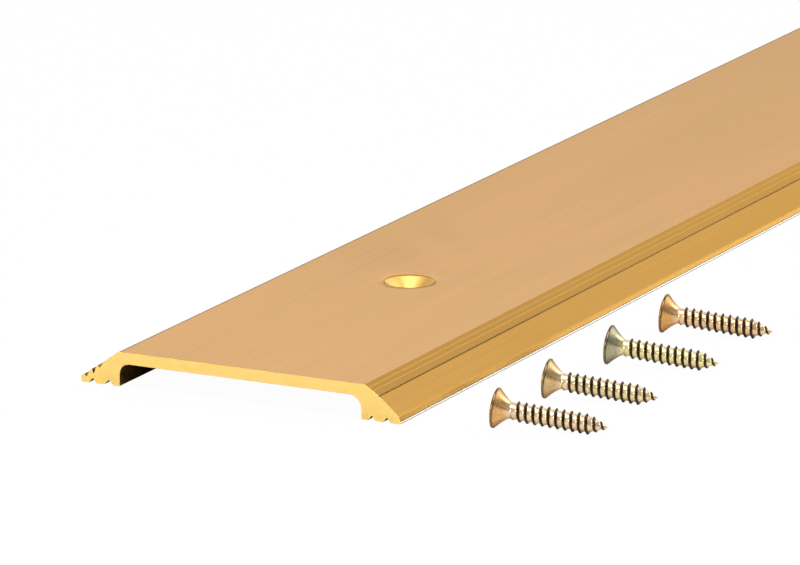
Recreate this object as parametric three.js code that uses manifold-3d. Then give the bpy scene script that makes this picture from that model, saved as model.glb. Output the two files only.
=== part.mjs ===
// Saddle threshold for a door opening: one extruded metal strip with a flat tread, two bevelled
// edges and ribbed feet, drilled and countersunk for four screws. The four screws lie loose on
// the floor beside the strip, near one end, with their points facing away from it.
//
// Millimetres. +X runs along the strip, +Z is up, and -Y is the side where the screws lie.
// The origin is the centre of the flat tread face, so the floor is HEIGHT below it.
import * as THREE from "three";
import { mergeVertices } from "three/addons/utils/BufferGeometryUtils.js";
import Module from "manifold-3d";

const wasm = await Module();
wasm.setup();

const INCH = 25.4;
const DEGREE = Math.PI / 180;

// Strip
const LENGTH = 36 * INCH;
const WIDTH = 2.5 * INCH;
const HEIGHT = 0.25 * INCH;
const FRONT_EDGE = 24.65;
const REAR_EDGE = 24.1;
const WEB = 2.15;
const FOOT_WIDTH = 7.75;
const FOOT_FILLET = 2.35;
const FOOT_CHAMFER = 0.2;
// The front bevel has a gentle upper band with fine score lines, a steeper plain band below it,
// and a blunt nose above the low toe.
const KNEE_RUN = 3;
const KNEE_DROP = 1.87;
const SCORES = [0.95, 1.95, 3.3].map((at, i) => ({ at, width: 0.36, depth: 0.15 + 0.05 * i }));
const NOSE_RUN = 0.42;
const NOSE_HEIGHT = 1.3;
const FRONT_TOE = 0.47;
// The rear bevel is one slope with three leaning grooves in its lower half. Each groove is the
// (Y, height above the floor) of its upper lip, its bottom and the ridge tip beyond it.
const REAR_GROOVES = [
  [27.1, 4.2, 28.05, 2.95, 28.35, 3.4],
  [28.75, 3.1, 29.25, 1.6, 29.6, 2.6],
  [29.95, 2.3, 30.75, 0.95, 31.1, 1.5],
];
const REAR_TOE = 1.1;
// V cuts that leave three ribs under each foot, measured from the toe.
const RIB_CUT = { width: 1.45, depth: 0.9 };
const WIDE_RIB_CUT = { width: 1.95, depth: 0.9 };
const FRONT_FOOT_CUTS = [{ at: 2.75, ...RIB_CUT }, { at: 5.7, ...RIB_CUT }];
const REAR_FOOT_CUTS = [{ at: 2.3, ...RIB_CUT }, { at: 5.55, ...WIDE_RIB_CUT }];

// Screw holes
const HOLES = 4;
const END_TO_HOLE = 68;
const HOLE_OFFSET = 1;
const HOLE_LIP_RADIUS = 4.6;
const HOLE_LIP_DEPTH = 0.15;
const COUNTERSINK_RADIUS = 4.1;
const COUNTERSINK_HALF_ANGLE = 41 * DEGREE;
const HOLE_SIDES = 28;

// Screws: number 6 raised countersunk tapping screws with a cross recess and a gimlet point.
// Distances along a screw are from the plane where its dome meets its rim.
const SCREW_LENGTH = 20.4;
const HEAD_RADIUS = 3.55;
const HEAD_DOME = 0.7;
const HEAD_LAND = 0.45;
const NECK_RADIUS = 1.5;
const NECK_END = 3.1;
const HEAD_SIDES = 24;
const THREAD_RADIUS = 1.85;
const ROOT_RADIUS = 1.42;
const THREAD_PITCH = 1.36;
const THREAD_START = 2.3;
const THREAD_TURNS = 12;
const THREAD_SIDES = 14;
const POINT_LENGTH = 3.4;
const TIP_RADIUS = 0.1;
const RECESS_DEPTH = 1.6;
const RECESS_SPAN = 4;
const RECESS_SLOT = 1;

// Loose screws: each head's distance from the strip's end and from its centre line
const LOOSE_HEADS = [
  [5.7, 47.1],
  [27.2, 46.6],
  [53.0, 46.4],
  [77.5, 45.8],
];
const LOOSE_YAW = 11 * DEGREE;
const LAST_FULL_CREST = SCREW_LENGTH - POINT_LENGTH;

const GOLD = new THREE.MeshStandardMaterial({ color: 0xd6a256, roughness: 0.38, metalness: 1 });
const SCREW_PLATING = new THREE.MeshStandardMaterial({ color: 0xd9b27c, roughness: 0.28, metalness: 1 });

// A geometry as a solid for joining and cutting.
function solidOf(geometry) {
  const bare = geometry.clone();
  bare.deleteAttribute("normal");
  bare.deleteAttribute("uv");
  const merged = mergeVertices(bare);
  return new wasm.Manifold(
    new wasm.Mesh({
      numProp: 3,
      vertProperties: merged.attributes.position.array,
      triVerts: new Uint32Array(merged.index.array),
    }),
  );
}

// A solid as a geometry, with flat facets.
function geometryOf(solid) {
  const mesh = solid.getMesh();
  const geometry = new THREE.BufferGeometry();
  geometry.setAttribute("position", new THREE.BufferAttribute(new Float32Array(mesh.vertProperties), 3));
  geometry.setIndex(new THREE.BufferAttribute(new Uint32Array(mesh.triVerts), 1));
  const flat = geometry.toNonIndexed();
  flat.computeVertexNormals();
  return flat;
}

// The straight line from start to end with a V cut at each place in cuts. The cuts go in to the
// left of the line, where the material is, and the end itself is left to the next line.
function lineWithCuts(start, end, cuts) {
  const along = end.clone().sub(start).normalize();
  const inward = new THREE.Vector2(-along.y, along.x);
  const onLine = (distance) => start.clone().addScaledVector(along, distance);
  const points = [start];
  for (const { at, width, depth } of cuts) {
    points.push(onLine(at - width / 2));
    points.push(onLine(at).addScaledVector(inward, depth));
    points.push(onLine(at + width / 2));
  }
  return points;
}

// The inside corner where a foot meets the web, as an arc from the foot's wall to the web.
function footFillet(steps = 6) {
  const centre = new THREE.Vector2(WIDTH / 2 - FOOT_WIDTH - FOOT_FILLET, -WEB - FOOT_FILLET);
  return Array.from({ length: steps + 1 }, (_, i) => {
    const angle = (i / steps) * (Math.PI / 2);
    return new THREE.Vector2(Math.cos(angle), Math.sin(angle)).multiplyScalar(FOOT_FILLET).add(centre);
  });
}

// One foot from its toe round its ribbed underside to the web, on the +Y side.
function footPoints(cuts) {
  const outer = WIDTH / 2;
  const inner = outer - FOOT_WIDTH;
  const outerCorner = new THREE.Vector2(outer - FOOT_CHAMFER, -HEIGHT);
  const innerCorner = new THREE.Vector2(inner + FOOT_CHAMFER, -HEIGHT);
  // The cuts go up from the underside, so the line runs from the inside out and is turned round.
  const fromInside = cuts.map((cut) => ({ ...cut, at: FOOT_WIDTH - FOOT_CHAMFER - cut.at })).reverse();
  return [
    new THREE.Vector2(outer, -HEIGHT + FOOT_CHAMFER),
    outerCorner,
    ...lineWithCuts(innerCorner, outerCorner, fromInside).reverse(),
    new THREE.Vector2(inner, -HEIGHT + FOOT_CHAMFER),
    ...footFillet(),
  ];
}

// The rear bevel from its toe up to the tread's rear edge.
function rearBevelPoints() {
  const onSection = (y, height) => new THREE.Vector2(y, height - HEIGHT);
  const downwards = [onSection(REAR_EDGE, HEIGHT)];
  for (const [lipY, lip, bottomY, bottom, tipY, tip] of REAR_GROOVES) {
    downwards.push(onSection(lipY, lip), onSection(bottomY, bottom), onSection(tipY, tip));
  }
  downwards.push(onSection(WIDTH / 2, REAR_TOE));
  return downwards.reverse();
}

// The strip's section, with Y across as its x and Z up as its y, anticlockwise from the tread's
// front edge down the front bevel, under the strip and up the rear bevel.
function stripSection() {
  const mirrored = (points) => points.map((p) => new THREE.Vector2(-p.x, p.y));
  const frontEdge = new THREE.Vector2(-FRONT_EDGE, 0);
  const knee = new THREE.Vector2(-FRONT_EDGE - KNEE_RUN, -KNEE_DROP);
  const nose = new THREE.Vector2(NOSE_RUN - WIDTH / 2, NOSE_HEIGHT - HEIGHT);
  const frontToe = new THREE.Vector2(-WIDTH / 2, FRONT_TOE - HEIGHT);
  return new THREE.Shape([
    ...lineWithCuts(frontEdge, knee, SCORES),
    knee,
    nose,
    frontToe,
    ...mirrored(footPoints(FRONT_FOOT_CUTS)),
    ...footPoints(REAR_FOOT_CUTS).reverse(),
    ...rearBevelPoints(),
  ]);
}

// The countersunk opening that is cut from the web, about its own upright axis.
function holeCutter() {
  const above = 1;
  const below = WEB + 1;
  const taper = Math.tan(COUNTERSINK_HALF_ANGLE);
  const bottomRadius = COUNTERSINK_RADIUS - (WEB - HOLE_LIP_DEPTH) * taper;
  const profile = [
    [0, -below],
    [bottomRadius, -below],
    [bottomRadius, -WEB],
    [COUNTERSINK_RADIUS, -HOLE_LIP_DEPTH],
    [HOLE_LIP_RADIUS, 0],
    [HOLE_LIP_RADIUS, above],
    [0, above],
  ].map(([radius, height]) => new THREE.Vector2(radius, height));
  return new THREE.LatheGeometry(profile, HOLE_SIDES).rotateX(Math.PI / 2);
}

function makeStrip() {
  const bar = new THREE.ExtrudeGeometry(stripSection(), { depth: LENGTH, bevelEnabled: false });
  bar.translate(0, 0, -LENGTH / 2);
  const acrossUpAlong = new THREE.Matrix4().makeBasis(
    new THREE.Vector3(0, 1, 0),
    new THREE.Vector3(0, 0, 1),
    new THREE.Vector3(1, 0, 0),
  );
  let solid = solidOf(bar.applyMatrix4(acrossUpAlong));
  const spacing = (LENGTH - 2 * END_TO_HOLE) / (HOLES - 1);
  for (let i = 0; i < HOLES; i++) {
    const along = -LENGTH / 2 + END_TO_HOLE + i * spacing;
    solid = solid.subtract(solidOf(holeCutter().translate(along, HOLE_OFFSET, 0)));
  }
  const strip = new THREE.Mesh(geometryOf(solid), GOLD);
  strip.name = "threshold_strip";
  return strip;
}

// The screw's own frame has +Y along its axis, from the head's rim plane at 0 to the point.

function headGeometry() {
  const flareStart = NECK_RADIUS + 0.25;
  const coneEnd = HEAD_LAND + (HEAD_RADIUS - flareStart) / Math.tan(COUNTERSINK_HALF_ANGLE);
  const dome = [0, 0.4, 0.75, 1].map((share) => [share * HEAD_RADIUS, (share * share - 1) * HEAD_DOME]);
  const profile = [
    ...dome,
    [HEAD_RADIUS, HEAD_LAND],
    [flareStart, coneEnd],
    [NECK_RADIUS, NECK_END - 0.3],
    [NECK_RADIUS, NECK_END],
    [ROOT_RADIUS - 0.2, NECK_END + 0.3],
    [0, NECK_END + 0.3],
  ].map(([radius, height]) => new THREE.Vector2(radius, height));
  return new THREE.LatheGeometry(profile, HEAD_SIDES);
}

// One blade of the cross recess: a square funnel squeezed flat. It starts above the head's dome.
function recessBlade() {
  const above = HEAD_DOME + 0.2;
  const depth = RECESS_DEPTH + above;
  const corner = Math.SQRT1_2;
  return new THREE.CylinderGeometry(0.4 * RECESS_SPAN * corner, RECESS_SPAN * corner, depth, 4)
    .rotateY(Math.PI / 4)
    .scale(1, 1, RECESS_SLOT / RECESS_SPAN)
    .translate(0, depth / 2 - above, 0);
}

// How far the point has narrowed at a distance along the screw: 1 before it, 0 at the tip.
function pointShare(distance) {
  return THREE.MathUtils.clamp((SCREW_LENGTH - distance) / POINT_LENGTH, 0, 1);
}

function rootRadius(distance) {
  return THREE.MathUtils.lerp(TIP_RADIUS, ROOT_RADIUS, pointShare(distance));
}

function crestRadius(distance) {
  const height = THREE.MathUtils.lerp(0.2, THREAD_RADIUS - ROOT_RADIUS, pointShare(distance));
  return rootRadius(distance) + height;
}

// The threaded shank as one closed surface. Its rows are helices, three to a turn: the near foot
// of the thread, its crest and its far foot. A row's end is the start of the row one turn on.
function shankGeometry() {
  const rowsPerTurn = [
    { share: 0, radius: rootRadius },
    { share: 0.2, radius: crestRadius },
    { share: 0.4, radius: rootRadius },
  ];
  const perTurn = rowsPerTurn.length;
  const rows = perTurn * THREAD_TURNS;
  const positions = [];
  const addPoint = (step, row) => {
    const { share, radius } = rowsPerTurn[row % perTurn];
    const turn = Math.floor(row / perTurn) + share + step / THREAD_SIDES;
    const distance = THREAD_START + turn * THREAD_PITCH;
    const angle = (step / THREAD_SIDES) * 2 * Math.PI;
    const r = radius(distance);
    positions.push(r * Math.sin(angle), distance, r * Math.cos(angle));
    return positions.length / 3 - 1;
  };
  const grid = [];
  for (let row = 0; row < rows; row++) {
    grid.push(Array.from({ length: THREAD_SIDES }, (_, step) => addPoint(step, row)));
  }
  for (let row = 0; row < rows; row++) {
    const next = grid[row + perTurn];
    grid[row].push(next ? next[0] : addPoint(THREAD_SIDES, row));
  }
  const triangles = [];
  for (let row = 0; row + 1 < rows; row++) {
    for (let step = 0; step < THREAD_SIDES; step++) {
      const [a, b] = [grid[row][step], grid[row][step + 1]];
      const [d, c] = [grid[row + 1][step], grid[row + 1][step + 1]];
      triangles.push(a, b, c, a, c, d);
    }
  }
  // Each end is a fan from the axis to the last helix and the short line that closes it.
  const fan = (distance, rim, towardsTip) => {
    positions.push(0, distance, 0);
    const centre = positions.length / 3 - 1;
    rim.forEach((point, i) => {
      const following = rim[(i + 1) % rim.length];
      triangles.push(...(towardsTip ? [centre, point, following] : [centre, following, point]));
    });
  };
  const firstRim = [...grid[0].slice(0, -1), grid[3][0], grid[2][0], grid[1][0]];
  const lastRim = [...grid[rows - 1], grid[rows - 2].at(-1), grid[rows - 3].at(-1)];
  fan(THREAD_START + THREAD_PITCH / 2, firstRim, false);
  fan(SCREW_LENGTH, lastRim, true);
  const geometry = new THREE.BufferGeometry();
  geometry.setAttribute("position", new THREE.Float32BufferAttribute(positions, 3));
  geometry.setIndex(triangles);
  return geometry;
}

function screwGeometry() {
  const blank = solidOf(headGeometry()).add(solidOf(shankGeometry()));
  const recess = solidOf(recessBlade()).add(solidOf(recessBlade().rotateY(Math.PI / 2)));
  return geometryOf(blank.subtract(recess));
}

// A loose screw rests on the rim of its head and on its last full thread, so it tips downwards.
function makeLooseScrew(geometry, index) {
  const [fromEnd, fromCentreLine] = LOOSE_HEADS[index];
  const tilt = Math.atan2(HEAD_RADIUS - THREAD_RADIUS, LAST_FULL_CREST - HEAD_LAND);
  const axisHeight = HEAD_RADIUS * Math.cos(tilt) + HEAD_LAND * Math.sin(tilt);
  const towardsTip = new THREE.Vector3(
    Math.sin(LOOSE_YAW) * Math.cos(tilt),
    -Math.cos(LOOSE_YAW) * Math.cos(tilt),
    -Math.sin(tilt),
  );
  const screw = new THREE.Mesh(geometry, SCREW_PLATING);
  screw.name = `screw_${index + 1}`;
  screw.quaternion.setFromUnitVectors(new THREE.Vector3(0, 1, 0), towardsTip);
  screw.position.set(-LENGTH / 2 + fromEnd, -fromCentreLine, axisHeight - HEIGHT);
  return screw;
}

const threshold = new THREE.Group();
threshold.add(makeStrip());
const screw = screwGeometry();
LOOSE_HEADS.forEach((_, index) => threshold.add(makeLooseScrew(screw, index)));

export default threshold;
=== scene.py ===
"""Looks for the threshold strip and its four loose screws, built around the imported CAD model.

The row frame is in metres: +X along the strip, +Z up, the tread face at z = 0, the floor under the feet.
Sections and profiles below are written in millimetres and turned into metres by MM.
"""

import math

import bmesh
import bpy
from mathutils import Matrix, Vector


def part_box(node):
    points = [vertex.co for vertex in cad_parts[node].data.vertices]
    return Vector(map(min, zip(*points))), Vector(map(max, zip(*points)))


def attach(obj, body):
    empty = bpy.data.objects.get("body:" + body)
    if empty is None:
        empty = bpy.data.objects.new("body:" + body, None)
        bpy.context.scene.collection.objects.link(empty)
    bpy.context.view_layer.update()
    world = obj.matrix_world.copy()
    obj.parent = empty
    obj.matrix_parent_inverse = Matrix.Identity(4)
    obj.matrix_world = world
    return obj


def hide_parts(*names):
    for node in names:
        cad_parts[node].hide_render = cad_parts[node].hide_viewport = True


MM = 0.001

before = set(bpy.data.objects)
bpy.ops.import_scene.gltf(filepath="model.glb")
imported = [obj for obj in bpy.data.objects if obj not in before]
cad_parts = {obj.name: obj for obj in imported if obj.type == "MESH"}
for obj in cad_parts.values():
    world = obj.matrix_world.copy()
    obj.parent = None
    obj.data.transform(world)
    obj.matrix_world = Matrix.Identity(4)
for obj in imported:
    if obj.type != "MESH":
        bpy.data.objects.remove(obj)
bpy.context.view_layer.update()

strip_low, strip_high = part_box("threshold_strip")
FLOOR_Z = strip_low.z
SCREWS = ["screw_1", "screw_2", "screw_3", "screw_4"]

# Strip section
LENGTH = (strip_high.x - strip_low.x) / MM
HALF_WIDTH = (strip_high.y - strip_low.y) / MM / 2
HEIGHT = (strip_high.z - strip_low.z) / MM
FRONT_EDGE = 24.65
REAR_EDGE = 24.1
WEB = 2.15
FOOT_WIDTH = 7.75
FOOT_FILLET = 2.35
# The front bevel: a band with (distance, width, depth) score lines down to the knee, a plain band,
# a blunt nose, and a low toe with a bead along it.
KNEE_RUN = 3.0
KNEE_DROP = 1.87
SCORES = [(0.95, 0.2, 0.03), (1.95, 0.2, 0.035), (3.35, 0.3, 0.14)]
NOSE_RUN = 0.42
NOSE_HEIGHT = 1.3
FRONT_TOE = 0.56
BEAD_HEIGHT = 0.42
TOE_ROUNDING = 0.17
# The rear bevel's leaning grooves, as (Y, height above the floor) of the lip, bottom and ridge tip
REAR_GROOVES = [
    ((27.1, 4.2), (28.05, 2.95), (28.35, 3.4)),
    ((28.75, 3.1), (29.25, 1.6), (29.6, 2.6)),
    ((29.95, 2.3), (30.75, 0.95), (31.1, 1.5)),
]
REAR_TOE = 1.1
FRONT_FOOT_CUTS = [(2.75, 1.45, 0.9), (5.7, 1.45, 0.9)]
REAR_FOOT_CUTS = [(2.3, 1.45, 0.9), (5.55, 1.95, 0.9)]
END_CHAMFER = 0.04

# Screw holes
HOLES = 4
END_TO_HOLE = 68.0
HOLE_OFFSET = 1.0
DIMPLE_RADIUS = 6.0
DIMPLE_DEPTH = 0.1
ROLL_DEPTH = 0.35
RIM_RADIUS = 4.1
THROUGH_RADIUS = 2.45
COUNTERSINK_SLOPE = math.tan(math.radians(49))
HOLE_SIDES = 96

# Screws, measured from the plane where the head's dome meets its rim
SCREW_LENGTH = 20.36
HEAD_RADIUS = 3.55
HEAD_DOME = 0.68
HEAD_LAND = 0.45
NECK_END = 3.1
FLARE_POWER = 1.35
THREAD_RADIUS = 1.85
ROOT_RADIUS = 1.42
PITCH = 1.36
POINT_LENGTH = 3.4
TIP_RADIUS = 0.06
SCREW_SIDES = 56
DOME_STEPS = 10
FLARE_STEPS = 12
ROWS_PER_TURN = 14
RIDGE_SHARE = 0.24
RECESS_DEPTH = 1.6
RECESS_SPAN = 4.0
RECESS_SLOT = 0.95
LOOSE_HEADS = [(5.7, 47.1), (27.2, 46.6), (53.0, 46.4), (77.5, 45.8)]
LOOSE_YAW = math.radians(11)

# Camera: where it stands, seen from the near end's floor centre, and how far the view's middle is
# from that point, to the right and up in the picture
CAMERA_AZIMUTH = math.radians(-63.09)
CAMERA_ELEVATION = math.radians(14.45)
CAMERA_DISTANCE = 1.3763
CAMERA_LENS = 353.1
VIEW_RIGHT = 0.02814
VIEW_UP = 0.02108

# The strip's finishes, four of them painted highlight and painted shade, and the screws' as (head, shank)
# colours
TREAD, BEVEL, CUT_END, COUNTERSINK, BEAD_PAINTED_HIGHLIGHT, TOE_PAINTED_SHADE, RECESS_PAINTED_SHADE, REAR_EDGE_PAINTED_SHADE = range(8)
SCREW_TINTS = [
    ((0.84, 0.49, 0.19), (1.0, 0.74, 0.46)),
    ((0.76, 0.52, 0.24), (1.0, 0.78, 0.45)),
    ((0.50, 0.44, 0.28), (1.0, 0.84, 0.42)),
    ((0.82, 0.44, 0.16), (1.0, 0.68, 0.38)),
]
# Painted shade on the screws: the near-black colour for the thread crests and flanks, and how much of it
# the head's rim takes.
THREAD_PAINTED_SHADE = (0.02, 0.012, 0.006)
RIM_PAINTED_SHADE = 0.3
PATCH_SHADE = 0.82
# Painted shade on the tread, darker streaks in its reflection round the first hole: where, from the first
# hole, and how long and wide
SHADE_STREAKS = [(20, 13, 26, 7), (36, 12, 20, 6), (14, 16, 14, 9)]
SHADE_STREAK_TURN = math.radians(42)
SHADE_STREAK_COLOUR = (0.40, 0.25, 0.11)
SHADE_STREAK_STRENGTH = 0.28

# Studio: the backdrop's brightness against the height and the X share of a direction
BACKDROP_BY_HEIGHT = [(0.0, 0.06), (0.1, 0.12), (0.33, 1.0), (0.48, 0.56), (1.0, 0.58)]
BACKDROP_ALONG = [(0.0, 0.45), (0.25, 0.25), (0.65, 1.0)]
BACKDROP_STRENGTH = 1.6
SEEN_FLOOR_GLOW = 0.97
FLOOR_GREY = 0.82


# ---------------------------------------------------------------- meshes


def rounded(corners, steps=4):
    """The closed outline of (across, up, radius) corners, with each corner rounded off."""
    points = []
    count = len(corners)
    for i, (across, up, radius) in enumerate(corners):
        corner = Vector((across, up))
        to_last = Vector(corners[i - 1][:2]) - corner
        to_next = Vector(corners[(i + 1) % count][:2]) - corner
        half_angle = to_last.angle(to_next) / 2
        reach = min(radius / math.tan(half_angle), 0.58 * to_last.length, 0.45 * to_next.length)
        start = corner + to_last.normalized() * reach
        middle = corner + (to_last.normalized() + to_next.normalized()).normalized() * (
            reach / math.cos(half_angle)
        )
        left_turn = to_last.x * to_next.y < to_last.y * to_next.x
        sweep = (math.pi - 2 * half_angle) * (1 if left_turn else -1)
        for step in range(steps + 1):
            turned = Matrix.Rotation(sweep * step / steps, 2) @ (start - middle)
            points.append(middle + turned)
    return points


def line_with_cuts(start, end, radius, cuts, lip=0.08, groove=0.05):
    """Corners along a line from start, with a V cut to its left at each (distance, width, depth)."""
    start_point, end_point = Vector(start), Vector(end)
    along = (end_point - start_point).normalized()
    inward = Vector((-along.y, along.x))
    corners = [(start[0], start[1], radius)]
    for distance, width, depth in cuts:
        middle = start_point + along * distance
        for point, r in [
            (middle - along * width / 2, lip),
            (middle + inward * depth, groove),
            (middle + along * width / 2, lip),
        ]:
            corners.append((point.x, point.y, r))
    return corners


def foot_corners(side, cuts):
    """One foot's corners from its toe to the web, on the side that side, -1 or 1, names."""
    inner = HALF_WIDTH - FOOT_WIDTH
    corners = [(HALF_WIDTH, -HEIGHT, TOE_ROUNDING)]
    for distance, width, depth in cuts:
        corners.append((HALF_WIDTH - distance + width / 2, -HEIGHT, 0.12))
        corners.append((HALF_WIDTH - distance, depth - HEIGHT, 0.15))
        corners.append((HALF_WIDTH - distance - width / 2, -HEIGHT, 0.12))
    corners.append((inner, -HEIGHT, 0.15))
    corners.append((inner, -WEB, FOOT_FILLET))
    return [(side * y, z, r) for y, z, r in corners]


def strip_outline():
    """The strip's section, anticlockwise, from the tread's front edge down the front bevel."""
    knee = (-FRONT_EDGE - KNEE_RUN, -KNEE_DROP)
    nose = [
        (NOSE_RUN - HALF_WIDTH, NOSE_HEIGHT - HEIGHT, 0.5),
        (0.05 - HALF_WIDTH, FRONT_TOE - HEIGHT, 0.04),
        (0.2 - HALF_WIDTH, FRONT_TOE - 0.12 - HEIGHT, 0.03),
        (-HALF_WIDTH, BEAD_HEIGHT - HEIGHT, 0.1),
    ]
    grooves = [
        (y, height - HEIGHT, 0.06) for groove in REAR_GROOVES[::-1] for y, height in groove[::-1]
    ]
    return rounded(
        line_with_cuts((-FRONT_EDGE, 0), knee, 0.25, SCORES)
        + [(*knee, 0.1)]
        + nose
        + foot_corners(-1, FRONT_FOOT_CUTS)
        + foot_corners(1, REAR_FOOT_CUTS)[::-1]
        + [(HALF_WIDTH, REAR_TOE - HEIGHT, 0.15)]
        + grooves
        + [(REAR_EDGE, 0, 1.4)]
    )


def inset(outline, amount):
    """The outline with each point moved inwards by amount."""
    moved = []
    for i, point in enumerate(outline):
        along = (outline[(i + 1) % len(outline)] - outline[i - 1]).normalized()
        moved.append(point + Vector((-along.y, along.x)) * amount)
    return moved


def finish_mesh(name, bm, smooth_angle):
    """A new object from bm, with doubles merged, faces pointing out and edges sharp past an angle."""
    bmesh.ops.remove_doubles(bm, verts=bm.verts, dist=1e-7)
    bmesh.ops.recalc_face_normals(bm, faces=bm.faces)
    mesh = bpy.data.meshes.new(name)
    bm.to_mesh(mesh)
    bm.free()
    for polygon in mesh.polygons:
        polygon.use_smooth = True
    mesh.set_sharp_from_angle(angle=math.radians(smooth_angle))
    piece = bpy.data.objects.new(name, mesh)
    bpy.context.scene.collection.objects.link(piece)
    return piece


def lathe(profile, sides):
    """A closed bmesh from (radius, height) points in metres, turned about Z. Both ends are on the axis."""
    bm = bmesh.new()
    rings = []
    for radius, height in profile:
        if radius == 0:
            rings.append([bm.verts.new((0, 0, height))])
            continue
        angles = [2 * math.pi * k / sides for k in range(sides)]
        rings.append([bm.verts.new((radius * math.cos(a), radius * math.sin(a), height)) for a in angles])
    for lower, upper in zip(rings, rings[1:]):
        for k in range(sides):
            following = (k + 1) % sides
            if len(lower) == 1:
                bm.faces.new((lower[0], upper[following], upper[k]))
            elif len(upper) == 1:
                bm.faces.new((lower[k], lower[following], upper[0]))
            else:
                bm.faces.new((lower[k], lower[following], upper[following], upper[k]))
    return bm


def cut(piece, cutter):
    """Subtracts cutter from piece, and removes cutter."""
    modifier = piece.modifiers.new("cut", "BOOLEAN")
    modifier.operation = "DIFFERENCE"
    modifier.solver = "EXACT"
    modifier.object = cutter
    evaluated = piece.evaluated_get(bpy.context.evaluated_depsgraph_get())
    mesh = bpy.data.meshes.new_from_object(evaluated)
    piece.modifiers.remove(modifier)
    piece.data = mesh
    bpy.data.objects.remove(cutter)


def strip_bar():
    """The strip without its holes: the section drawn along X, with a fine chamfer round each end."""
    full = strip_outline()
    small = inset(full, END_CHAMFER)
    half = LENGTH / 2
    stations = [(-half, small), (END_CHAMFER - half, full), (half - END_CHAMFER, full), (half, small)]
    bm = bmesh.new()
    rings = [[bm.verts.new(Vector((x, p.x, p.y)) * MM) for p in outline] for x, outline in stations]
    for near, far in zip(rings, rings[1:]):
        for k in range(len(full)):
            following = (k + 1) % len(full)
            bm.faces.new((near[k], near[following], far[following], far[k]))
    bm.faces.new(rings[0])
    bm.faces.new(rings[-1][::-1])
    return finish_mesh("threshold_strip_fine", bm, 28)


def hole_cutter(along):
    """The opening for one screw: a shallow dimple that rolls over into the countersink."""
    profile = [(0, 1.0), (DIMPLE_RADIUS + 0.3, 1.0), (DIMPLE_RADIUS + 0.3, 0.012)]
    roll = 10
    for step in range(roll + 1):
        t = step / roll
        radius = DIMPLE_RADIUS + (RIM_RADIUS - DIMPLE_RADIUS) * t
        profile.append((radius, -DIMPLE_DEPTH * t * t - ROLL_DEPTH * t**6))
    rim_depth = DIMPLE_DEPTH + ROLL_DEPTH
    cone_depth = rim_depth + (RIM_RADIUS - THROUGH_RADIUS - 0.3) * COUNTERSINK_SLOPE
    profile += [
        (RIM_RADIUS - 0.25, -rim_depth - 0.22),
        (THROUGH_RADIUS + 0.15, -min(cone_depth, WEB - 0.1)),
        (THROUGH_RADIUS, -WEB),
        (THROUGH_RADIUS, -WEB - 1),
        (0, -WEB - 1),
    ]
    bm = lathe([(r * MM, z * MM) for r, z in profile[::-1]], HOLE_SIDES)
    cutter = finish_mesh("cutter", bm, 60)
    cutter.data.transform(Matrix.Translation(Vector((along, HOLE_OFFSET, 0)) * MM))
    return cutter


def hole_places():
    """The X of each hole."""
    spacing = (LENGTH - 2 * END_TO_HOLE) / (HOLES - 1)
    return [END_TO_HOLE - LENGTH / 2 + i * spacing for i in range(HOLES)]


def make_strip():
    """The strip with its holes."""
    strip = strip_bar()
    for along in hole_places():
        cut(strip, hole_cutter(along))
    weigh = strip.modifiers.new("weighted normals", "WEIGHTED_NORMAL")
    weigh.keep_sharp = True
    return strip


def point_share(distance):
    """1 before the screw's point begins, falling to 0 at its tip."""
    return min(max((SCREW_LENGTH - distance) / POINT_LENGTH, 0), 1)


def shank_radius(distance, phase):
    """The shank's radius at a distance along the screw; phase is 0 to 1 across one thread."""
    taper = point_share(distance)
    root = TIP_RADIUS + (ROOT_RADIUS - TIP_RADIUS) * taper
    run_in = min(max((distance - NECK_END) / (0.6 * PITCH), 0), 1)
    height = (THREAD_RADIUS - ROOT_RADIUS) * (0.5 + 0.5 * taper) * run_in * min(1, taper * 6)
    flank = max(0, 1 - abs(phase - 0.5) / RIDGE_SHARE)
    return root + height * min(1, 1.15 * flank)


def shank(bm):
    """The threaded shank: rows that climb as they go round, so that each row follows the thread."""
    turns = math.ceil((SCREW_LENGTH - NECK_END) / PITCH) + 1
    grid = []
    for row in range(-ROWS_PER_TURN, turns * ROWS_PER_TURN + 1):
        ring = []
        for side in range(SCREW_SIDES + 1):
            climb = (row / ROWS_PER_TURN + side / SCREW_SIDES) * PITCH
            distance = min(max(NECK_END + climb, NECK_END), SCREW_LENGTH)
            radius = shank_radius(distance, (row / ROWS_PER_TURN) % 1)
            angle = 2 * math.pi * (side % SCREW_SIDES) / SCREW_SIDES
            point = Vector((radius * math.cos(angle), radius * math.sin(angle), distance))
            ring.append(bm.verts.new(point * MM))
        grid.append(ring)
    for lower, upper in zip(grid, grid[1:]):
        for k in range(SCREW_SIDES):
            bm.faces.new((lower[k], lower[k + 1], upper[k + 1], upper[k]))


def head_profile():
    """The head's (radius, height) points from its dome over the rim and down the flare to the shank."""
    profile = []
    for step in range(1, DOME_STEPS + 1):
        share = step / DOME_STEPS
        profile.append((share * (HEAD_RADIUS - 0.05), (share * share - 1) * HEAD_DOME))
    profile += [(HEAD_RADIUS, 0.06), (HEAD_RADIUS, HEAD_LAND - 0.1), (HEAD_RADIUS - 0.05, HEAD_LAND)]
    cone_start = (HEAD_RADIUS - 0.14, HEAD_LAND + 0.06)
    for step in range(FLARE_STEPS + 1):
        share = step / FLARE_STEPS
        height = cone_start[1] + (NECK_END - 0.1 - cone_start[1]) * share
        radius = ROOT_RADIUS + (cone_start[0] - ROOT_RADIUS) * (1 - share) ** FLARE_POWER
        profile.append((radius, height))
    return profile + [(ROOT_RADIUS, NECK_END)]


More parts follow.
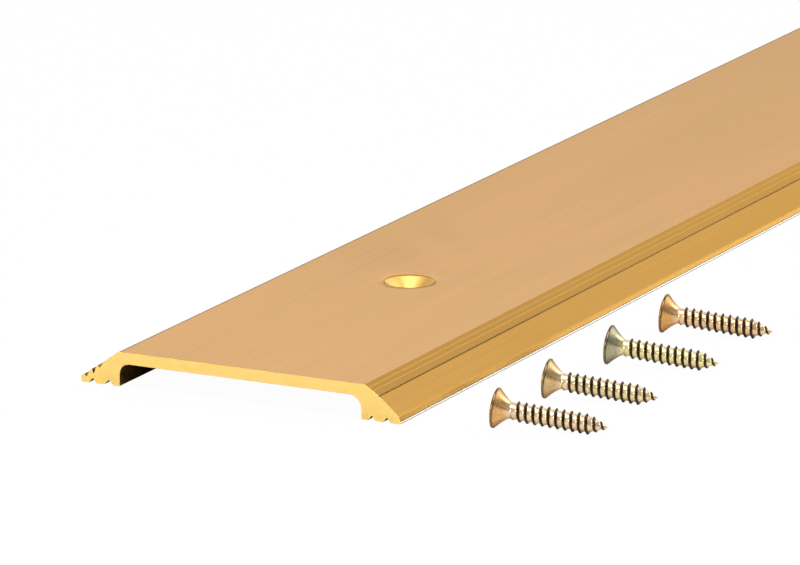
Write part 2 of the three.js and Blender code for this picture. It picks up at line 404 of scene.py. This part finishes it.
def screw_blank():
    """One screw along +Z, its rim plane at 0, before the recess is cut."""
    bm = bmesh.new()
    angles = [2 * math.pi * k / SCREW_SIDES for k in range(SCREW_SIDES)]
    rings = []
    for radius, height in head_profile():
        points = [Vector((radius * math.cos(a), radius * math.sin(a), height)) for a in angles]
        rings.append([bm.verts.new(point * MM) for point in points])
    for lower, upper in zip(rings, rings[1:]):
        for k in range(SCREW_SIDES):
            following = (k + 1) % SCREW_SIDES
            bm.faces.new((lower[k], lower[following], upper[following], upper[k]))
    crown = bm.verts.new((0, 0, -HEAD_DOME * MM))
    for k in range(SCREW_SIDES):
        bm.faces.new((rings[0][(k + 1) % SCREW_SIDES], rings[0][k], crown))
    shank(bm)
    bmesh.ops.remove_doubles(bm, verts=bm.verts, dist=2e-6)
    tip_edges = [e for e in bm.edges if e.is_boundary]
    bmesh.ops.holes_fill(bm, edges=tip_edges)
    return finish_mesh("screw_blank", bm, 40)


def recess_blade(turn):
    """One blade of the cross recess, a funnel squeezed flat."""
    corner = RECESS_SPAN / 2
    above = -HEAD_DOME - 0.2
    profile = [(0, above), (corner, above), (0.4 * corner, RECESS_DEPTH), (0, RECESS_DEPTH + 0.3)]
    bm = lathe([(r * MM * math.sqrt(2), z * MM) for r, z in profile], 4)
    square_on = Matrix.Rotation(math.pi / 4, 4, "Z")
    squeeze = Matrix.Diagonal((1, RECESS_SLOT / RECESS_SPAN, 1, 1))
    bmesh.ops.transform(bm, matrix=Matrix.Rotation(turn, 4, "Z") @ squeeze @ square_on, verts=bm.verts)
    return finish_mesh("cutter", bm, 20)


def mark_zones(mesh):
    """Two values on each point of a screw along +Z: how far it is head, and how much painted shade darkens
    it on the thread crests and the head's rim.
    """
    head = mesh.attributes.new("head", "FLOAT", "POINT")
    painted_shade = mesh.attributes.new("painted_shade", "FLOAT", "POINT")
    for i, vertex in enumerate(mesh.vertices):
        distance = vertex.co.z / MM
        radius = vertex.co.xy.length / MM
        root = TIP_RADIUS + (ROOT_RADIUS - TIP_RADIUS) * point_share(distance)
        head.data[i].value = min(max(NECK_END - 0.2 - distance, 0), 1)
        # Painted shade: part of it on the head's rim, and more of it the higher a point stands on the
        # thread.
        if 0 < distance < HEAD_LAND + 0.02:
            painted_shade.data[i].value = RIM_PAINTED_SHADE
        elif distance > NECK_END:
            painted_shade.data[i].value = min(max((radius - root) / (THREAD_RADIUS - ROOT_RADIUS), 0), 1)


def make_screws():
    """The four loose screws, each resting on its head's rim and its last full thread."""
    blank = screw_blank()
    for turn in (0, math.pi / 2):
        cut(blank, recess_blade(turn))
    mark_zones(blank.data)
    tilt = math.atan2(HEAD_RADIUS - THREAD_RADIUS, SCREW_LENGTH - POINT_LENGTH - HEAD_LAND)
    axis_height = HEAD_RADIUS * math.cos(tilt) + HEAD_LAND * math.sin(tilt)
    towards_tip = Vector((
        math.sin(LOOSE_YAW) * math.cos(tilt),
        -math.cos(LOOSE_YAW) * math.cos(tilt),
        -math.sin(tilt),
    ))
    turn = Vector((0, 0, 1)).rotation_difference(towards_tip).to_matrix().to_4x4()
    screws = []
    for node, (from_end, from_centre) in zip(SCREWS, LOOSE_HEADS):
        place = Vector((strip_low.x / MM + from_end, -from_centre, axis_height - HEIGHT)) * MM
        mesh = blank.data.copy()
        mesh.transform(Matrix.Translation(place) @ turn)
        screw = bpy.data.objects.new(f"{node}_fine", mesh)
        bpy.context.scene.collection.objects.link(screw)
        screws.append(screw)
    bpy.data.objects.remove(blank)
    return screws


# ---------------------------------------------------------------- materials


def new_material(name):
    """A new material with its nodes, its links and its shader."""
    material = bpy.data.materials.new(name)
    material.use_nodes = True
    nodes = material.node_tree.nodes
    return material, nodes, material.node_tree.links, nodes["Principled BSDF"]


def noise(nodes, links, scale, detail=3.0):
    """A noise value over the piece's own space, with the space scaled along each axis first."""
    place = nodes.new("ShaderNodeTexCoord")
    stretch = nodes.new("ShaderNodeMapping")
    stretch.inputs["Scale"].default_value = scale
    texture = nodes.new("ShaderNodeTexNoise")
    texture.inputs["Scale"].default_value = 1.0
    texture.inputs["Detail"].default_value = detail
    links.new(place.outputs["Object"], stretch.inputs["Vector"])
    links.new(stretch.outputs["Vector"], texture.inputs["Vector"])
    return texture.outputs["Fac"]


def spread(nodes, links, value, low, high):
    """Maps a noise value's usual range to low..high."""
    node = nodes.new("ShaderNodeMapRange")
    node.inputs["From Min"].default_value = 0.3
    node.inputs["From Max"].default_value = 0.7
    node.inputs["To Min"].default_value = low
    node.inputs["To Max"].default_value = high
    links.new(value, node.inputs["Value"])
    return node.outputs["Result"]


def mix(nodes, links, share, first, second):
    """Between two colours, each either plain or from another node."""
    node = nodes.new("ShaderNodeMix")
    node.data_type = "RGBA"
    links.new(share, node.inputs["Factor"])
    for value, socket in ((first, node.inputs["A"]), (second, node.inputs["B"])):
        if isinstance(value, tuple):
            socket.default_value = (*value, 1)
        else:
            links.new(value, socket)
    return node.outputs["Result"]


def scaled(nodes, links, value, amount):
    """A value from another node, times amount."""
    node = nodes.new("ShaderNodeMath")
    node.operation = "MULTIPLY"
    node.inputs[1].default_value = amount
    links.new(value, node.inputs[0])
    return node.outputs["Value"]


def bump(nodes, links, shader, value, strength, depth):
    """Raises the shader's surface a little where the value is high."""
    node = nodes.new("ShaderNodeBump")
    node.inputs["Strength"].default_value = strength
    node.inputs["Distance"].default_value = depth
    links.new(value, node.inputs["Height"])
    links.new(node.outputs["Normal"], shader.inputs["Normal"])


def shade_streak(nodes, links, middle, reach, turn):
    """1 inside a soft ellipse lying on the tread, and 0 outside it."""
    place = nodes.new("ShaderNodeTexCoord")
    fit = nodes.new("ShaderNodeMapping")
    fit.vector_type = "TEXTURE"
    fit.inputs["Location"].default_value = middle
    fit.inputs["Rotation"].default_value = (0, 0, turn)
    fit.inputs["Scale"].default_value = reach
    ball = nodes.new("ShaderNodeTexGradient")
    ball.gradient_type = "SPHERICAL"
    links.new(place.outputs["Object"], fit.inputs["Vector"])
    links.new(fit.outputs["Vector"], ball.inputs["Vector"])
    return ball.outputs["Fac"]


def drawn_gold(name, colour, shade, edge_tint, roughness, shade_streaks=()):
    """Gold anodised extrusion, with draw lines along X, slight clouding of the dye, and any painted shade
    streaks it is given.
    """
    material, nodes, links, shader = new_material(name)
    shader.inputs["Metallic"].default_value = 1.0
    shader.inputs["Specular Tint"].default_value = (*edge_tint, 1)
    clouds = spread(nodes, links, noise(nodes, links, (9, 60, 60)), 0, 1)
    dye = mix(nodes, links, clouds, colour, shade)
    # Painted shade: darker streaks mixed into the dye.
    for middle, reach, turn in shade_streaks:
        faint = scaled(nodes, links, shade_streak(nodes, links, middle, reach, turn), SHADE_STREAK_STRENGTH)
        dye = mix(nodes, links, faint, dye, SHADE_STREAK_COLOUR)
    links.new(dye, shader.inputs["Base Color"])
    lines = noise(nodes, links, (14, 2600, 2600), detail=4)
    drag = spread(nodes, links, lines, roughness - 0.03, roughness + 0.03)
    links.new(drag, shader.inputs["Roughness"])
    bump(nodes, links, shader, lines, 0.05, 0.00002)
    return material


def sawn_gold(name, colour, shade, roughness):
    """Cut metal with the fine marks of the saw or the countersink on it."""
    material, nodes, links, shader = new_material(name)
    shader.inputs["Metallic"].default_value = 1.0
    clouds = spread(nodes, links, noise(nodes, links, (200, 300, 500)), 0, 1)
    links.new(mix(nodes, links, clouds, colour, shade), shader.inputs["Base Color"])
    marks = noise(nodes, links, (200, 2400, 300), detail=2)
    drag = spread(nodes, links, marks, roughness - 0.08, roughness + 0.08)
    links.new(drag, shader.inputs["Roughness"])
    bump(nodes, links, shader, marks, 0.25, 0.00003)
    return material


def marked(nodes, name):
    """The value that the mesh carries under this name."""
    node = nodes.new("ShaderNodeAttribute")
    node.attribute_name = name
    return node.outputs["Fac"]


def plating(name, head, shank):
    """Bright plated steel: patchy dye, a tint of its own on the head, and painted shade darkening the
    thread crests and the head's rim.
    """
    material, nodes, links, shader = new_material(name)
    shader.inputs["Metallic"].default_value = 1.0
    patches = spread(nodes, links, noise(nodes, links, (420, 420, 420)), 0, 1)
    head_dye = mix(nodes, links, patches, head, tuple(c * PATCH_SHADE for c in head))
    shank_dye = mix(nodes, links, patches, shank, tuple(c * PATCH_SHADE for c in shank))
    dye = mix(nodes, links, marked(nodes, "head"), shank_dye, head_dye)
    # Painted shade: the marked value darkens the thread crests and the head's rim towards a near-black
    # colour.
    painted_shade = nodes.new("ShaderNodeMapRange")
    painted_shade.inputs["From Min"].default_value = 0.04
    painted_shade.inputs["From Max"].default_value = 0.4
    painted_shade.inputs["To Max"].default_value = 0.97
    links.new(marked(nodes, "painted_shade"), painted_shade.inputs["Value"])
    dye = mix(nodes, links, painted_shade.outputs["Result"], dye, THREAD_PAINTED_SHADE)
    links.new(dye, shader.inputs["Base Color"])
    marks = noise(nodes, links, (1500, 1500, 1500), detail=4)
    links.new(spread(nodes, links, marks, 0.22, 0.36), shader.inputs["Roughness"])
    bump(nodes, links, shader, marks, 0.12, 0.00002)
    return material


def painted_edge_tone(name, colour, shade):
    """Metal of a flat painted tone along the toe, mottled a little: used for the bead's painted highlight
    and for the painted shade above and below the bead.
    """
    material, nodes, links, shader = new_material(name)
    shader.inputs["Metallic"].default_value = 1.0
    mottle = spread(nodes, links, noise(nodes, links, (60, 3000, 3000)), 0, 1)
    links.new(mix(nodes, links, mottle, colour, shade), shader.inputs["Base Color"])
    drag = spread(nodes, links, noise(nodes, links, (90, 2000, 2000)), 0.3, 0.5)
    links.new(drag, shader.inputs["Roughness"])
    return material


def tread_shade_streaks():
    """Painted shade: darker streaks in the tread's reflection that fan out from the first hole towards the
    rear edge.
    """
    first_hole = Vector((strip_low.x + END_TO_HOLE * MM, HOLE_OFFSET * MM, 0))
    marks = []
    for along, across, length, width in SHADE_STREAKS:
        middle = first_hole + Vector((along, across, 0)) * MM
        marks.append((middle, (length * MM, width * MM, 10 * MM), SHADE_STREAK_TURN))
    return marks


def strip_finish(face):
    """Which of the strip's finishes a face takes, by where it is and which way it faces."""
    x, y, z = face.center / MM
    if abs(face.normal.x) > 0.6 and abs(x) > LENGTH / 2 - 1:
        return CUT_END
    from_hole = min(math.hypot(x - along, y - HOLE_OFFSET) for along in hole_places())
    if from_hole < RIM_RADIUS + ROLL_DEPTH and -WEB < z < -DIMPLE_DEPTH / 2:
        return COUNTERSINK
    # Painted shade: the deep score at the knee takes the dark colour of the shaded recesses.
    along_band = Vector((-KNEE_RUN, -KNEE_DROP)).normalized() * SCORES[-1][0]
    if math.hypot(y + FRONT_EDGE - along_band.x, z - along_band.y) < SCORES[-1][1] / 2:
        return RECESS_PAINTED_SHADE
    # Along the toe: a painted highlight on the bead, and painted shade in the groove above it and under it.
    if y < 0.3 - HALF_WIDTH and z < FRONT_TOE - HEIGHT:
        return BEAD_PAINTED_HIGHLIGHT if TOE_ROUNDING < z + HEIGHT < BEAD_HEIGHT + 0.02 else TOE_PAINTED_SHADE
    # Painted shade under the web, on the feet's inner walls, and on the rear grooves' flanks that face the
    # front.
    if z < -WEB + 0.01 and abs(y) < HALF_WIDTH - FOOT_WIDTH + 0.05:
        return RECESS_PAINTED_SHADE
    if y > REAR_EDGE + 2.5 and face.normal.y < 0:
        return RECESS_PAINTED_SHADE
    # Painted shade: a darker line along the rounded rear edge.
    if y > REAR_EDGE - 1.5 and 0.87 < face.normal.z < 0.99:
        return REAR_EDGE_PAINTED_SHADE
    return TREAD if face.normal.z > 0.99 else BEVEL


def paint_strip(strip):
    """Gives the strip its finishes, face by face. A finish's number is its place in the list."""
    strip.data.materials.clear()
    gold_tint = (1, 0.8, 0.55)
    finishes = {
        TREAD: drawn_gold(
            "tread gold", (0.58, 0.34, 0.17), (0.53, 0.325, 0.155), (1, 0.82, 0.6), 0.22, tread_shade_streaks()
        ),
        BEVEL: drawn_gold("bevel gold", (0.54, 0.30, 0.084), (0.49, 0.275, 0.07), gold_tint, 0.24),
        CUT_END: sawn_gold("cut end gold", (0.93, 0.65, 0.2), (0.87, 0.6, 0.18), 0.42),
        COUNTERSINK: sawn_gold("countersink gold", (1.0, 0.66, 0.2), (0.92, 0.56, 0.15), 0.52),
        # Painted highlight: a near-white line on the toe's bead.
        BEAD_PAINTED_HIGHLIGHT: painted_edge_tone("bead painted highlight", (1.0, 0.99, 0.95), (0.97, 0.92, 0.8)),
        # Painted shade: near-black in the groove above the toe's bead and under the bead.
        TOE_PAINTED_SHADE: painted_edge_tone("toe painted shade", (0.1, 0.07, 0.04), (0.06, 0.04, 0.02)),
        # Painted shade: a dark gold for the recesses, the underside and the deep score.
        RECESS_PAINTED_SHADE: drawn_gold("recess painted shade gold", (0.22, 0.145, 0.055), (0.16, 0.105, 0.04), gold_tint, 0.4),
        # Painted shade: a darker tone along the rounded rear edge.
        REAR_EDGE_PAINTED_SHADE: drawn_gold("rear edge painted shade", (0.3, 0.2, 0.11), (0.24, 0.16, 0.09), (0.6, 0.5, 0.4), 0.3),
    }
    for finish in sorted(finishes):
        strip.data.materials.append(finishes[finish])
    for polygon in strip.data.polygons:
        polygon.material_index = strip_finish(polygon)


# ---------------------------------------------------------------- scene


def softbox(name, place, size, power):
    """A rectangular light at place, facing the strip's near end."""
    light = bpy.data.lights.new(name, "AREA")
    light.shape = "RECTANGLE"
    light.size, light.size_y = size
    light.energy = power
    lamp = bpy.data.objects.new(name, light)
    lamp.location = place
    aim = Vector((strip_low.x + 0.08, 0, FLOOR_Z))
    lamp.rotation_euler = (aim - Vector(place)).to_track_quat("-Z", "Y").to_euler()
    bpy.context.scene.collection.objects.link(lamp)


def ramp(nodes, links, value, stops):
    """A grey ramp of (position, brightness) stops."""
    node = nodes.new("ShaderNodeValToRGB")
    node.color_ramp.interpolation = "EASE"
    elements = node.color_ramp.elements
    while len(elements) < len(stops):
        elements.new(1.0)
    for element, (position, brightness) in zip(elements, stops):
        element.position = position
        element.color = (brightness, brightness, brightness, 1)
    links.new(value, node.inputs["Fac"])
    return node.outputs["Color"]


def make_world():
    """A dim studio with a pale backdrop beyond the strip's far end, brighter a little way up."""
    world = bpy.data.worlds.new("studio")
    world.use_nodes = True
    nodes, links = world.node_tree.nodes, world.node_tree.links
    place = nodes.new("ShaderNodeTexCoord")
    axes = nodes.new("ShaderNodeSeparateXYZ")
    links.new(place.outputs["Generated"], axes.inputs["Vector"])
    height = ramp(nodes, links, axes.outputs["Z"], BACKDROP_BY_HEIGHT)
    along = ramp(nodes, links, axes.outputs["X"], BACKDROP_ALONG)
    both = nodes.new("ShaderNodeMix")
    both.data_type = "RGBA"
    both.blend_type = "MULTIPLY"
    both.inputs["Factor"].default_value = 1.0
    links.new(height, both.inputs["A"])
    links.new(along, both.inputs["B"])
    background = nodes["Background"]
    links.new(both.outputs["Result"], background.inputs["Color"])
    background.inputs["Strength"].default_value = BACKDROP_STRENGTH
    bpy.context.scene.world = world


def make_floor():
    """A plain pale floor under the feet."""
    bpy.ops.mesh.primitive_plane_add(size=12, location=(0, 0, FLOOR_Z))
    floor = bpy.context.object
    floor.name = "floor"
    material, nodes, links, shader = new_material("pale floor")
    grain = spread(nodes, links, noise(nodes, links, (40, 40, 40)), 0, 1)
    pale = mix(nodes, links, grain, (FLOOR_GREY,) * 3, (FLOOR_GREY + 0.02,) * 3)
    links.new(pale, shader.inputs["Base Color"])
    shader.inputs["Roughness"].default_value = 1.0
    shader.inputs["Specular IOR Level"].default_value = 0.0
    # What the camera sees directly of the floor is mostly its own even white, as on a light table.
    glow = nodes.new("ShaderNodeEmission")
    glow.inputs["Strength"].default_value = 1.0
    ray = nodes.new("ShaderNodeLightPath")
    share = scaled(nodes, links, ray.outputs["Is Camera Ray"], SEEN_FLOOR_GLOW)
    blend = nodes.new("ShaderNodeMixShader")
    links.new(share, blend.inputs["Fac"])
    links.new(shader.outputs["BSDF"], blend.inputs[1])
    links.new(glow.outputs["Emission"], blend.inputs[2])
    links.new(blend.outputs["Shader"], nodes["Material Output"].inputs["Surface"])
    floor.data.materials.append(material)


def make_camera():
    """A camera that looks along the strip from beyond its near end."""
    a, e = CAMERA_AZIMUTH, CAMERA_ELEVATION
    back = Vector((math.sin(a) * math.cos(e), -math.cos(a) * math.cos(e), math.sin(e)))
    right = Vector((math.cos(a), math.sin(a), 0))
    up = back.cross(right)
    middle = Vector((strip_low.x, 0, FLOOR_Z)) + right * VIEW_RIGHT + up * VIEW_UP
    camera = bpy.data.objects.new("camera", bpy.data.cameras.new("camera"))
    camera.data.lens = CAMERA_LENS
    camera.data.sensor_width = 36
    camera.matrix_world = Matrix.Translation(middle + back * CAMERA_DISTANCE) @ Matrix(
        (right, up, back)
    ).transposed().to_4x4()
    bpy.context.scene.collection.objects.link(camera)
    bpy.context.scene.camera = camera


strip = make_strip()
paint_strip(strip)
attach(strip, "strip")
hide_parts("threshold_strip")

for node, screw, tints in zip(SCREWS, make_screws(), SCREW_TINTS):
    screw.data.materials.clear()
    screw.data.materials.append(plating(f"{node} plating", *tints))
    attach(screw, f"loose_{node}")
    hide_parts(node)

make_camera()
make_world()
softbox("overhead", (-0.7, -0.1, 1.2), (0.9, 0.9), 10)
softbox("side", (0.43, -0.65, 0.78), (0.45, 0.35), 2.4)
softbox("front", (-1.9, 0.7, 0.45), (0.9, 0.6), 10)
softbox("low", (0.85, -0.75, 0.1), (0.6, 0.25), 1.5)
make_floor()
bpy.context.scene.view_settings.view_transform = "Standard"
